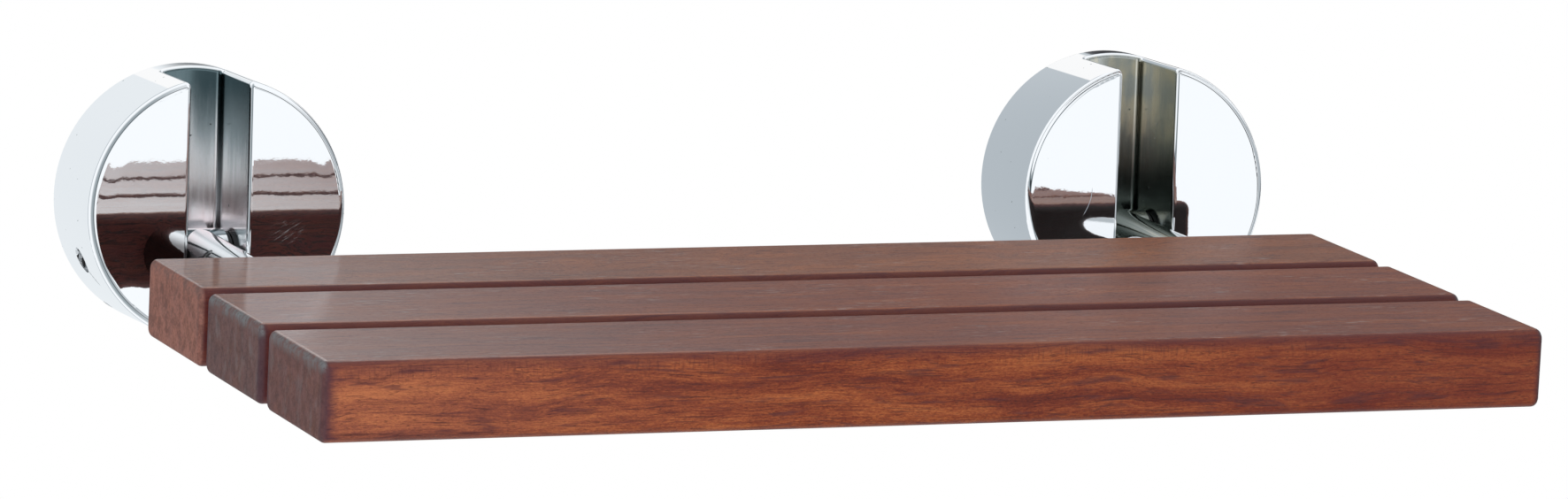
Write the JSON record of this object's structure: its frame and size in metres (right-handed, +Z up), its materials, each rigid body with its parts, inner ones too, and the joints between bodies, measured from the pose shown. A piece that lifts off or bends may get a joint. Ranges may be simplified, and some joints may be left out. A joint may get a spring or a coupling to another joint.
{
  "type": "fold down wall seat",
  "caption": "Wall seat of thick hardwood slats on chromed bars, which fold up in the slots of round chromed wall brackets screwed to the wall through hidden plates.",
  "frame": {"origin": "on the wall plane, midway between the two brackets, at the height of their centres: the centre of the rectangle of the four outer wall screw holes", "axes": "+X along the wall to the right as seen from the room, +Y into the wall, +Z up"},
  "size_m": [0.511, 0.3248, 0.107],
  "materials": {
    "chrome": "bright mirror chrome plating on cast brackets and round bars",
    "steel": "plain turned stainless steel",
    "nylon": "dark grey nylon, matt",
    "hardwood": "oiled reddish brown hardwood, sanded, rounded edges"
  },
  "bodies": {
    "wall_brackets": {"left_bracket_drum": "chrome", "left_wall_plate": "steel", "left_drum_lock_screws": "steel", "left_pivot_pin": "steel", "left_pin_lock_screw": "steel", "left_stop_pad": "nylon", "right_bracket_drum": "chrome", "right_wall_plate": "steel", "right_drum_lock_screws": "steel", "right_pivot_pin": "steel", "right_pin_lock_screw": "steel", "right_stop_pad": "nylon"},
    "seat": {"left_pivot_bush": "nylon", "left_thrust_washers": "nylon", "left_arm": "chrome", "left_arm_set_screw": "steel", "left_tie_rod": "steel", "left_barrel_nut": "steel", "left_slat_spacers": "nylon", "right_pivot_bush": "nylon", "right_thrust_washers": "nylon", "right_arm": "chrome", "right_arm_set_screw": "steel", "right_tie_rod": "steel", "right_barrel_nut": "steel", "right_slat_spacers": "nylon", "rear_slat": "hardwood", "middle_slat": "hardwood", "front_slat": "hardwood"}
  },
  "joints": [
    {"name": "seat_fold", "type": "hinge", "parent": "wall_brackets", "child": "seat", "pos_m": [0, -0.024, -0.0225], "axis": [-1, 0, 0], "range_deg": [0, 93]}
  ]
}
